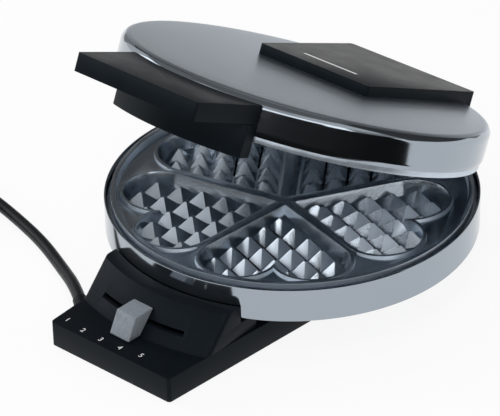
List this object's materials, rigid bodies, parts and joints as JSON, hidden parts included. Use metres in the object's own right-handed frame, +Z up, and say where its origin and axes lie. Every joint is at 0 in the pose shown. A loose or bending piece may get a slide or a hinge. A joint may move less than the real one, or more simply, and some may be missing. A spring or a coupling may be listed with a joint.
{
  "type": "heart waffle iron",
  "caption": "Round countertop waffle iron with heart pockets, its lid part open on a rear hinge, on a long flat foot with a heat slider and a coiled mains lead.",
  "frame": {"origin": "on the worktop, midway between the foot's front and rear edges and below the lid's middle line", "axes": "+Z up, -Y towards the user, where the handle and the heat slider are, +X to the user's right"},
  "size_m": [0.3478, 0.3138, 0.1614],
  "materials": {
    "black_plastic": "moulded, fine matt grain",
    "foot_rubber": "soft, matt",
    "band_steel": "polished stainless sheet",
    "lid_steel": "satin stainless disc with a polished side",
    "inner_steel": "plain plated sheet",
    "cast_plate": "dark non-stick coating with a soft gloss",
    "element_steel": "heat-dulled tube",
    "grey_plastic": "light grey, satin",
    "white_plastic": "plain",
    "lead_rubber": "smooth sheath",
    "plug_metal": "nickel plated",
    "screw_steel": "zinc plated"
  },
  "bodies": {
    "base": {"base_plate": "black_plastic", "base_cover": "black_plastic", "pedestal": "black_plastic", "control_housing": "black_plastic", "hinge_cover": "black_plastic", "rubber_feet": "foot_rubber", "lower_shell": "band_steel", "lower_pan": "inner_steel", "lower_waffle_plate": "cast_plate", "lower_heating_element": "element_steel", "thermostat": "inner_steel", "thermal_fuse": "inner_steel", "fuse_clip": "inner_steel", "terminal_block": "white_plastic", "hinge_bracket": "inner_steel", "hinge_pin": "inner_steel", "strain_relief": "lead_rubber", "power_cord": "lead_rubber", "cord_coil": "lead_rubber", "plug_body": "lead_rubber", "plug_pins": "plug_metal", "cover_screws": "screw_steel", "lower_plate_screws": "screw_steel"},
    "lid": {"upper_shell": "lid_steel", "upper_waffle_plate": "cast_plate", "upper_heating_element": "element_steel", "lid_screws": "screw_steel", "handle_grip": "black_plastic", "handle_cover": "black_plastic", "handle_screws": "screw_steel", "handle_apron": "black_plastic", "lid_stand": "black_plastic", "stand_screws": "screw_steel", "lid_hinge_leaf": "inner_steel", "leaf_screws": "screw_steel"},
    "heat_slider": {"slider_knob": "grey_plastic", "control_lever": "inner_steel", "thermostat_spindle": "inner_steel"}
  },
  "joints": [
    {"name": "lid_hinge", "type": "hinge", "parent": "base", "child": "lid", "pos_m": [0, 0.11295, 0.0546], "axis": [-1, 0, 0], "range_deg": [-24.25, 70.75]},
    {"name": "heat_slide", "type": "hinge", "parent": "base", "child": "heat_slider", "pos_m": [0, 0.01545, 0.022], "axis": [0, 0, 1], "range_deg": [-12.1, 12.5]}
  ]
}
